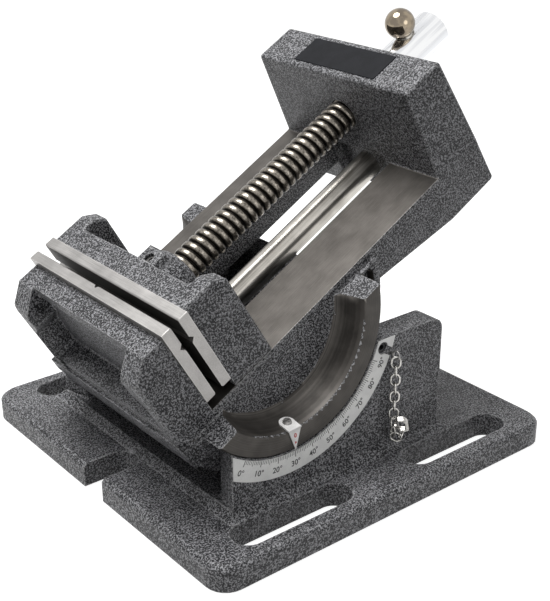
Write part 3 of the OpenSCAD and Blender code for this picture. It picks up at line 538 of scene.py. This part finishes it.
def room(edge, rounded):
    """The widest rounding for which the faces beside an edge leave room at its ends."""
    beside_sharp, beside_rounded, narrowest = 0.7, 0.42, 0.01
    widths = [1.0]
    for loop in edge.link_loops:
        after = loop.link_loop_next
        for here, beside in ((loop.vert, loop.link_loop_prev.edge), (after.vert, after.edge)):
            length = beside.calc_length()
            if beside not in rounded:
                widths.append(beside_sharp * length)
                continue
            along = edge.other_vert(here).co - here.co
            away = beside.other_vert(here).co - here.co
            corner = max(narrowest, along.angle(away, pi))
            widths.append(beside_rounded * min(length, edge.calc_length()) * tan(corner / 2))
    return min(widths)


def weigh_edges(bm, widest, radius_at, least=30.0):
    """Weighs each edge that is sharper than least degrees, so that it gets its radius.

    The radius goes by the edge's middle and its bend, which is below 0 in inside corners."""
    fade_deg, smallest = 20, 0.04 * MM
    layer = bm.edges.layers.float.new("bevel_weight_edge")
    holed = holed_faces(bm)
    rounded = {
        edge for edge in bm.edges
        if len(edge.link_faces) == 2 and abs(degrees(edge.calc_face_angle_signed(0.0))) >= least
        and not holed.intersection(edge.link_faces)}
    for edge in rounded:
        middle = (edge.verts[0].co + edge.verts[1].co) / 2
        bend = degrees(edge.calc_face_angle_signed(0.0))
        fade = min(1.0, (abs(bend) - least) / fade_deg)
        radius = min(fade * radius_at(middle, bend), room(edge, rounded))
        edge[layer] = radius / widest if radius > smallest else 0.0


def turned(points, steps, place):
    """A closed solid turned about the Z axis from a half section of (radius, height), placed by a matrix."""
    bm = bmesh.new()
    verts = [bm.verts.new((radius, 0, height)) for radius, height in points]
    edges = [bm.edges.new(pair) for pair in zip(verts, verts[1:])]
    bmesh.ops.spin(
        bm, geom=verts + edges, cent=(0, 0, 0), axis=(0, 0, 1), angle=2 * pi, steps=steps, use_merge=True)
    bmesh.ops.remove_doubles(bm, verts=bm.verts, dist=1e-7)
    bmesh.ops.recalc_face_normals(bm, faces=bm.faces)
    bmesh.ops.transform(bm, matrix=place, verts=bm.verts)
    return bm


def turned_bar(radius, length, bevel, steps, place):
    """A bar with bevelled ends along Z, placed by a matrix."""
    return turned(
        [(0, 0), (radius - bevel, 0), (radius, bevel), (radius, length - bevel), (radius - bevel, length),
         (0, length)], steps, place)


def join(first, second):
    """Adds the second bmesh's shapes to the first."""
    spare = bpy.data.meshes.new("spare")
    second.to_mesh(spare)
    second.free()
    first.from_mesh(spare)
    bpy.data.meshes.remove(spare)
    return first


def along_bed(start, height):
    """Turns Z into the bed's direction and starts at that place in the bed's frame."""
    return BED @ Matrix.Translation((start, 0, height)) @ Matrix.Rotation(pi / 2, 4, "Y")


def arc_points(radius, first, last, steps):
    """Points of an arc about the origin of a half section, between two directions in degrees."""
    turns = [radians(first + (last - first) * step / steps) for step in range(steps + 1)]
    return [(radius * cos(turn), radius * sin(turn)) for turn in turns]


def dressed(node, key):
    """A CAD node whose shape is right gets its finish."""
    mesh = frame["nodes"][node].data
    mesh.materials.clear()
    mesh.materials.append(finish(key))


def rounded_sheet(name, node, key, edge):
    """A CAD node of sheet metal with all its edges rounded. Its slot is named like its finish."""
    sheet = clean_copy(node)
    weigh_edges(sheet, edge, lambda middle, bend: edge)
    return round_edges(piece(name, sheet, [key], [node]), edge, 2)


# Castings

PLATE_TOP = 14 * MM
SEAT_R = 61.2 * MM
# Middle between the holes for the near tilt lock screw and the screw eye
HOLE_PAIR = Vector((17.5 * MM, 0, 75 * MM))


def base_radius(middle, bend):
    """Rounding of the base casting's edges. A radius of 0 leaves an edge sharp in the mesh."""
    flat_middle = Vector((middle.x, 0, middle.z))
    on_foot = middle.z < 1 * MM
    near_holes = (flat_middle - HOLE_PAIR).length < 8 * MM
    in_end_slot = abs(middle.y) < 14 * MM and abs(middle.x) > 80 * MM
    above_plate = middle.z > PLATE_TOP - 1 * MM
    beside_slot = abs(abs(middle.y) - 86 * MM) < 10 * MM and abs(middle.x) < 96 * MM
    if on_foot:
        return 0.5 * MM
    if near_holes:
        return 0.0
    if in_end_slot:
        return 0.3 * MM
    if beside_slot and above_plate:
        return 0.0
    if bend < 0:
        return 2.2 * MM if above_plate else 0.6 * MM
    if middle.z > PLATE_TOP + 1 * MM:
        from_axis = (flat_middle - Vector((PIVOT.x, 0, PIVOT.z))).length
        on_seat = abs(from_axis - SEAT_R) < 0.4 * MM
        return 0.35 * MM if on_seat else 1.0 * MM
    return 0.9 * MM


def from_drum_axis(at):
    """The way to a place in the bed's frame from the nearest point of the tilt axis."""
    return at - Vector((0, at.y, RAIL_BELOW_AXIS))


def body_radius(middle, bend):
    """Rounding of the vise body's edges, by their place along and above the bed."""
    at = BED_INVERSE @ middle
    in_corner = bend < 0
    on_drum_side = abs(at.y) > HALF_W + 1 * MM
    on_underside = at.z < -14 * MM and abs(at.x) > 60 * MM
    at_ring_root = 36 * MM < abs(at.x) < 41 * MM and -13 * MM < at.z < -9 * MM
    if on_drum_side or on_underside or in_corner and at_ring_root:
        return 0.0
    if in_corner:
        in_ring = abs(at.y) > HALF_W - 6 * MM and at.z < -2 * MM and from_drum_axis(at).length < 52 * MM
        return 1.6 * MM if in_ring else 0.8 * MM
    on_rail = abs(at.z) < 0.3 * MM and -44 * MM < at.x < 126 * MM
    on_rear_block = at.x > 120 * MM
    in_bores = abs(at.y) < 20 * MM and at.z < 40 * MM
    on_outline = at.z > 5 * MM or abs(at.y) > 50 * MM
    on_fixed_jaw = at.x < -46.5 * MM and at.z > 0
    if on_rail:
        return 0.25 * MM
    if on_rear_block and in_bores:
        return 0.0
    if on_rear_block:
        return 1.3 * MM if on_outline else 0.7 * MM
    return 0.0 if on_fixed_jaw else 0.5 * MM


def jaw_radius(middle, bend):
    """Rounding of the moving jaw's edges."""
    at = BED_INVERSE @ middle
    on_foot = at.z < 0.5 * MM
    on_hub = abs(at.y) < 19 * MM
    behind_plate_seat = at.x > -28 * MM
    if on_foot:
        return 0.4 * MM
    if on_hub:
        return 0.0
    if bend < 0:
        return 2.2 * MM
    return 1.3 * MM if behind_plate_seat else 0.5 * MM


def machined(face):
    """Which finish a face of the vise body has: 0 paint, 1 rail steel, 2 ring steel."""
    at = BED_INVERSE @ face.calc_center_median()
    up = (BED_INVERSE.to_3x3() @ face.normal).normalized()
    way = from_drum_axis(at)
    on_rail = up.z > 0.99 and abs(at.z) < 0.3 * MM and -45.7 * MM < at.x < 127.2 * MM
    if on_rail:
        return 1
    beside_wall = abs(at.y) > HALF_W - 1 * MM
    turned_wall = way.length > 40 * MM and abs(up.dot(way.normalized())) > 0.7 and at.z < 5 * MM
    if beside_wall and turned_wall:
        return 2 if at.x < 70 * MM else 0
    on_ring_face = abs(at.y) > HALF_W + 4 * MM and abs(up.y) > 0.9
    round_ring = 60.2 * MM < way.length < 64 * MM and at.z < 0 and at.x < 60 * MM
    return 2 if on_ring_face or beside_wall and round_ring else 0


class VISE_OT_castings(bpy.types.Operator):
    """Base, vise body and moving jaw with rounded cast edges"""

    bl_idname = "vise.castings"
    bl_label = "Castings"

    def execute(self, context):
        widest = settings("castings").corner
        along = BED.to_3x3().col[0]
        # Planes across the slots, and above the pad across the tilt lock's holes and the screw eye's
        slots_x, lock_x, eye_x = 70 * MM, 14.5 * MM, 21 * MM
        below_foot, above_pad = -1 * MM, 20 * MM
        base_cuts = [((x, 0, 0), (1, 0, 0), below_foot) for x in (-slots_x, slots_x)]
        base_cuts += [((x, 0, 0), (1, 0, 0), above_pad) for x in (lock_x, eye_x)]
        base_cuts.append(((0, 0, 0), (0, 1, 0), below_foot))
        base = clean_copy("base_casting", base_cuts)
        weigh_edges(base, widest, base_radius)
        round_edges(piece("cast_base", base, ["cast_paint"], ["base_casting"]), widest, 3)

        # Planes along the bed, through the channel and beside it, and one plane across the bed
        beside_channel = 30 * MM
        body_cuts = [((0, y, 0), (0, 1, 0), 0) for y in (-beside_channel, 0, beside_channel)]
        body_cuts.append((BED.translation, along, 0))
        body = clean_copy("vise_body_casting", body_cuts, HALF_W + 2 * MM)
        for face in body.faces:
            face.material_index = machined(face)
        weigh_edges(body, widest, body_radius)
        finishes = ["cast_paint", "rail_steel", "ring_steel"]
        thing = piece("cast_vise_body", body, finishes, ["vise_body_casting"])
        round_edges(thing, widest, 3)

        # The same for the moving jaw, with the plane across the bed through the casting
        beside_hub, through_jaw = 19 * MM, BED @ Vector((-5 * MM, 0, 0))
        jaw_cuts = [((0, y, 0), (0, 1, 0), 0) for y in (-beside_hub, 0, beside_hub)]
        jaw_cuts.append((through_jaw, along, 0))
        jaw = clean_copy("moving_jaw", jaw_cuts)
        weigh_edges(jaw, widest, jaw_radius)
        round_edges(piece("cast_moving_jaw", jaw, ["cast_paint"], ["moving_jaw"]), widest, 3)
        return {"FINISHED"}


class VISE_OT_jaw_plates(bpy.types.Operator):
    """Ground jaw plates, keeper plates and their screws"""

    bl_idname = "vise.jaw_plates"
    bl_label = "Jaw plates"

    def execute(self, context):
        edge = 0.35 * MM
        along = BED.to_3x3().col[0]
        for name, node, way in (
                ("jaw_plate_fixed", "fixed_jaw_plate", 1), ("jaw_plate_moving", "moving_jaw_plate", -1)):
            plate = clean_copy(node)
            for face in plate.faces:
                # A face that clamps, between the two plates, gets the darker steel as painted shade
                clamps = face.normal.dot(along) * way > 0.9
                face.material_index = int(clamps)
            weigh_edges(plate, edge, lambda middle, bend: edge)
            round_edges(piece(name, plate, ["plate_steel", "shaded_gap_steel"], [node]), edge, 2)
        for node in (
                "fixed_jaw_screws", "moving_jaw_screws", "keeper_screws", "screw_retainer", "rod_set_screw"):
            dressed(node, "set_screw_steel")
        # Keeper plates under the moving jaw in the darker steel, as painted shade
        dressed("keeper_plates", "shaded_gap_steel")
        return {"FINISHED"}


# One pitch of the thread, as shares of the pitch and of the depth: root, rounded flank, crest, rounded flank
THREAD = (
    (0.0, 0.0), (0.10, 0.0), (0.15, 0.15), (0.19, 0.55), (0.24, 0.80), (0.32, 0.94), (0.42, 1.0), (0.66, 1.0),
    (0.76, 0.94), (0.84, 0.80), (0.89, 0.55), (0.93, 0.15))


def threaded_bar(crest, length):
    """A bar along Z from 0 to length with a single thread up to the crest's radius."""
    look = settings("screw")
    root = crest - look.depth
    turns = int(length / look.pitch) + 3
    bm = bmesh.new()
    rows = []
    for step in range(look.steps * turns + 1):
        turn = 2 * pi * step / look.steps
        rows.append([
            bm.verts.new((
                (root + look.depth * up) * cos(turn), (root + look.depth * up) * sin(turn),
                look.pitch * (on - 1 + step / look.steps)))
            for on, up in THREAD])
    for step in range(look.steps * (turns - 1)):
        # A row's last point is the first one of the row a turn later
        here = rows[step] + [rows[step + look.steps][0]]
        after = rows[step + 1] + [rows[step + 1 + look.steps][0]]
        for corners in zip(here, after, after[1:], here[1:]):
            bm.faces.new(corners)
    for height, normal in ((0.0, -1), (length, 1)):
        cut = bmesh.ops.bisect_plane(
            bm, geom=bm.verts[:] + bm.edges[:] + bm.faces[:], dist=1e-7, plane_co=(0, 0, height),
            plane_no=(0, 0, normal), clear_outer=True)
        rim = [item for item in cut["geom_cut"] if isinstance(item, bmesh.types.BMEdge)]
        bmesh.ops.contextual_create(bm, geom=rim)
    bmesh.ops.recalc_face_normals(bm, faces=bm.faces)
    return bm


class VISE_OT_lead_screw(bpy.types.Operator):
    """Lead screw with its real thread"""

    bl_idname = "vise.lead_screw"
    bl_label = "Lead screw"

    def execute(self, context):
        low, high = node_span("lead_screw", BED_INVERSE)
        head = node_span("screw_head", BED_INVERSE)[0].x
        hub_end, start, overlap = 2.0 * MM, low.x, 1 * MM
        bm = threaded_bar((high.z - low.z) / 2, head - hub_end)
        bmesh.ops.transform(bm, matrix=along_bed(hub_end, SCREW_H), verts=bm.verts)
        # Journal with the retaining screw's groove in the moving jaw, and spigot in the head
        journal, spigot, sides = 6 * MM, 7 * MM, 48
        groove, groove_at, groove_half = 4.4 * MM, -10 * MM, 3.5 * MM
        groove_low, groove_high = groove_at - groove_half - start, groove_at + groove_half - start
        journal_l, spigot_l = hub_end + overlap - start, high.x - head + overlap
        join(bm, turned(
            [(0, 0), (journal, 0), (journal, groove_low), (groove, groove_low), (groove, groove_high),
             (journal, groove_high), (journal, journal_l), (0, journal_l)],
            sides, along_bed(start, SCREW_H)))
        join(bm, turned(
            [(0, 0), (spigot, 0), (spigot, spigot_l), (0, spigot_l)],
            sides, along_bed(head - overlap, SCREW_H)))
        piece("threaded_spindle", bm, ["thread_steel"], ["lead_screw"], smooth=40.0)
        return {"FINISHED"}


class VISE_OT_bars(bpy.types.Operator):
    """Guide rod, screw head and the sliding handle with its two balls"""

    bl_idname = "vise.bars"
    bl_label = "Bars and handle"

    def execute(self, context):
        bevel = 0.5 * MM
        low, high = node_span("guide_rod", BED_INVERSE)
        rod = turned_bar(
            (high.y - low.y) / 2, high.x - low.x, bevel, 96, along_bed(low.x, (low.z + high.z) / 2))
        piece("guide_bar", rod, ["polished_steel"], ["guide_rod"])

        head = clean_copy("screw_head")
        edge, corner = 0.5 * MM, 0.2 * MM
        weigh_edges(head, edge, lambda middle, bend: edge if bend > 0 else corner)
        round_edges(piece("spindle_head", head, ["chrome"], ["screw_head"]), edge, 3)
        dressed("head_pin", "set_screw_steel")

        low, high = node_span("handle_bar", BED_INVERSE)
        middle = ((low.x + high.x) / 2, 0, low.z)
        bar = turned_bar(
            (high.y - low.y) / 2, high.z - low.z, bevel, 64, BED @ Matrix.Translation(middle))
        piece("handle_rod", bar, ["polished_steel"], ["handle_bar"])
        for name, node, side in (
                ("knob_top", "handle_ball_top", 1), ("knob_bottom", "handle_ball_bottom", -1)):
            low, high = node_span(node, BED_INVERSE)
            ball = (high.x - low.x) / 2
            centre = high.z - ball if side > 0 else low.z + ball
            # The bore's floor and slanted wall, its rim, and the ball from its mouth to its pole
            rim, slant, floor, mouth_deg = 5.2 * MM, 0.3 * MM, -ball * 0.35, -52.0
            section = [(0.0, floor), (rim - slant, floor), (rim, -ball * 0.80)]
            section += arc_points(ball, mouth_deg, 90.0, 28)
            place = BED @ Matrix.Translation((middle[0], 0, centre)) @ Matrix.Diagonal((1, 1, side, 1))
            knob = turned(section, 64, place)
            piece(name, knob, ["ball_brass"], [node], smooth=50.0, recalculate=True)
        return {"FINISHED"}


# Scale and pointer


def on_dial(angle_deg, radius, out):
    """Places a mark on a face that looks to -Y: X along the dial, Y towards the tilt axis."""
    turn = radians(angle_deg)
    outward = Vector((cos(turn), 0, sin(turn)))
    along = Vector((-sin(turn), 0, cos(turn)))
    at = PIVOT + outward * radius
    return Matrix((
        (along.x, -outward.x, 0, at.x),
        (along.y, -outward.y, -1, out),
        (along.z, -outward.z, 0, at.z),
        (0, 0, 0, 1)))


def lettering(text, size, place):
    """A line of text as a thin solid, centred on its place."""
    curve = bpy.data.curves.new("lettering", "FONT")
    curve.body = text
    curve.size = size
    curve.extrude = 0.03 * MM
    curve.offset = 0.018 * size
    curve.resolution_u = 4
    curve.align_x = "CENTER"
    curve.align_y = "CENTER"
    thing = bpy.data.objects.new("lettering", curve)
    bpy.context.scene.collection.objects.link(thing)
    bpy.context.view_layer.update()
    mesh = bpy.data.meshes.new_from_object(thing.evaluated_get(bpy.context.evaluated_depsgraph_get()))
    bpy.data.objects.remove(thing)
    bm = bmesh.new()
    bm.from_mesh(mesh)
    bpy.data.meshes.remove(mesh)
    bmesh.ops.remove_doubles(bm, verts=bm.verts, dist=1e-7)
    bmesh.ops.transform(bm, matrix=place, verts=bm.verts)
    return bm


def bar_mark(width, length, thick, place):
    """A thin block, centred on its place."""
    bm = bmesh.new()
    size = Matrix.Diagonal((width, length, thick, 1))
    bmesh.ops.create_cube(bm, size=1.0, matrix=place @ size)
    return bm


class VISE_OT_scale(bpy.types.Operator):
    """Degree strip with its ticks and numbers, and the pointer with its mark"""

    bl_idname = "vise.scale"
    bl_label = "Degree scale"

    def execute(self, context):
        look = settings("scale")
        dressed("degree_scale", "scale_white")
        inner, thick = 62.0 * MM, 0.08 * MM
        ticks = bmesh.new()
        for degree in range(91):
            ten, five = degree % 10 == 0, degree % 5 == 0
            length = (3.3 if ten else 2.7 if five else 2.0) * MM
            width = (0.42 if ten else 0.30) * MM
            place = on_dial(look.zero_deg + degree, inner + length / 2, CHEEK_FACE)
            join(ticks, bar_mark(width, length, thick, place))
        piece("scale_ticks", ticks, ["mark_ink"], body="base")
        numbers = bmesh.new()
        for degree in range(0, 91, 10):
            place = on_dial(look.zero_deg + degree, look.number_r, CHEEK_FACE)
            join(numbers, lettering(f"{degree}°", look.digit, place))
        piece("scale_numbers", numbers, ["mark_ink"], body="base")

        rounded_sheet("pointer_plate", "angle_pointer", "pointer_white", 0.15 * MM)
        dressed("pointer_screw", "set_screw_steel")
        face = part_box("angle_pointer")[0].y
        direction = look.zero_deg + degrees(TILT)
        zero_r, zero_size = 52.6 * MM, 3.4 * MM
        tip_r, tip_size, tip_thick = 56.6 * MM, 0.85 * MM, 0.06 * MM
        mark = lettering("0", zero_size, on_dial(direction, zero_r, face))
        tip = bmesh.new()
        bmesh.ops.create_cone(
            tip, cap_ends=True, segments=3, radius1=tip_size, radius2=tip_size, depth=tip_thick,
            matrix=on_dial(direction, tip_r, face) @ Matrix.Rotation(-pi / 2, 4, "Z"))
        join(mark, tip)
        piece("pointer_mark", mark, ["mark_red"], body="vise_body")
        return {"FINISHED"}


class VISE_OT_small_parts(bpy.types.Operator):
    """Bare nameplate, lock screws, screw eye, chain and clasp"""

    bl_idname = "vise.small_parts"
    bl_label = "Small parts"

    def execute(self, context):
        rounded_sheet("bare_label", "nameplate", "plate_slate", 0.2 * MM)
        for node in ("tilt_lock_screw_near", "tilt_lock_screw_far"):
            dressed(node, "black_steel")
        dressed("chain_eye", "set_screw_steel")
        for node in ("chain_links", "clasp_ring", "clasp_hook", "clasp_lever"):
            dressed(node, "nickel")
        return {"FINISHED"}


# Stage


def flat_sheet(name, half, height):
    """A level square of the stage."""
    bm = bmesh.new()
    place = Matrix.Translation((0, 0, height))
    bmesh.ops.create_grid(bm, x_segments=1, y_segments=1, size=half, matrix=place)
    mesh = bpy.data.meshes.new(name)
    bm.to_mesh(mesh)
    bm.free()
    thing = bpy.data.objects.new(name, mesh)
    bpy.context.scene.collection.objects.link(thing)
    return thing


def seen_white(shader):
    """1 for the rays that show the background: those of the camera, mirrors and glass."""
    kinds = ("Is Camera Ray", "Is Glossy Ray", "Is Transmission Ray")
    camera, mirror, glass = [shader.add("LightPath", output=kind) for kind in kinds]
    return camera.math("MAXIMUM", camera, mirror.math("MAXIMUM", mirror, glass))


def lamp(name, place, towards, size, watts):
    """A round soft lamp that looks towards a point."""
    data = bpy.data.lights.new(name, "AREA")
    data.shape = "DISK"
    data.size = size
    data.energy = watts
    thing = bpy.data.objects.new(name, data)
    thing.location = place
    thing.rotation_euler = (Vector(towards) - Vector(place)).to_track_quat("-Z", "Y").to_euler()
    bpy.context.scene.collection.objects.link(thing)
    return thing


def aimed_camera(look):
    """The camera, at a distance from its target in a direction given by two angles."""
    azimuth, elevation = radians(look.azimuth), radians(look.elevation)
    back = Vector((sin(azimuth) * cos(elevation), -cos(azimuth) * cos(elevation), sin(elevation)))
    camera = bpy.data.objects.new("camera", bpy.data.cameras.new("camera"))
    camera.location = Vector(look.target) + back * look.distance
    camera.rotation_euler = (-back).to_track_quat("-Z", "Y").to_euler()
    camera.data.lens = look.lens
    camera.data.sensor_width = 36
    bpy.context.scene.collection.objects.link(camera)
    return camera


class VISE_OT_stage(bpy.types.Operator):
    """Camera, floor, sky and soft lamps"""

    bl_idname = "vise.stage"
    bl_label = "Stage"

    def execute(self, context):
        look = settings("stage")
        scene = context.scene
        scene.view_settings.view_transform = "Standard"
        scene.camera = aimed_camera(look)

        white, shade, pale = (1, 1, 1, 1), (0.44, 0.44, 0.44), (0.46, 0.46, 0.46)
        grain_size, shine, half_width, sunk = 40 * MM, 0.88, 4.0, -0.2 * MM
        shader = Shader("pale_floor")
        floor_tone = shader.mix(shader.noise(shader.place(), grain_size), shade, pale)
        matt = shader.add("BsdfDiffuse", {"Color": floor_tone})
        glow = shader.add("Emission", {"Color": white, "Strength": seen_white(shader) * shine})
        both = shader.add("AddShader", {0: matt, 1: glow})
        shader.add("OutputMaterial", {"Surface": both})
        floor = flat_sheet("floor", half_width, sunk)
        floor.data.materials.append(shader.material)

        world = bpy.data.worlds.new("sky")
        scene.world = world
        sky = Shader("sky", world)
        seen = seen_white(sky)
        strength = seen + (1 - seen) * look.sky
        sky.add("OutputWorld", {"Surface": sky.add("Background", {"Color": white, "Strength": strength})})

        above, in_front, vise = (-0.25, 0.15, 1.0), (0.1, -1.1, 0.5), (0, 0, 0.08)
        lamp_size, fill_watts = 0.6, 1.5
        lamp("key", above, vise, lamp_size, look.key)
        lamp("fill", in_front, vise, lamp_size, fill_watts)
        return {"FINISHED"}


STEPS = (
    VISE_OT_stage, VISE_OT_castings, VISE_OT_jaw_plates, VISE_OT_lead_screw, VISE_OT_bars, VISE_OT_scale,
    VISE_OT_small_parts)


class VISE_PT_panel(bpy.types.Panel):
    """Lists the steps that build the vise"""

    bl_idname = "VISE_PT_panel"
    bl_label = "Tilting vise"
    bl_space_type = "VIEW_3D"
    bl_region_type = "UI"
    bl_category = "Vise"

    def draw(self, context):
        for step in STEPS:
            self.layout.operator(step.bl_idname)


CLASSES = (*SETTINGS.values(), *STEPS, VISE_PT_panel)


def register():
    for kind in CLASSES:
        bpy.utils.register_class(kind)
    for part, kind in SETTINGS.items():
        setattr(bpy.types.Scene, "vise_" + part, bpy.props.PointerProperty(type=kind))


def unregister():
    for part in SETTINGS:
        delattr(bpy.types.Scene, "vise_" + part)
    for kind in reversed(CLASSES):
        bpy.utils.unregister_class(kind)


def main():
    register()
    for step in STEPS:
        group, action = step.bl_idname.split(".")
        getattr(getattr(bpy.ops, group), action)()


if __name__ == "__main__":
    main()
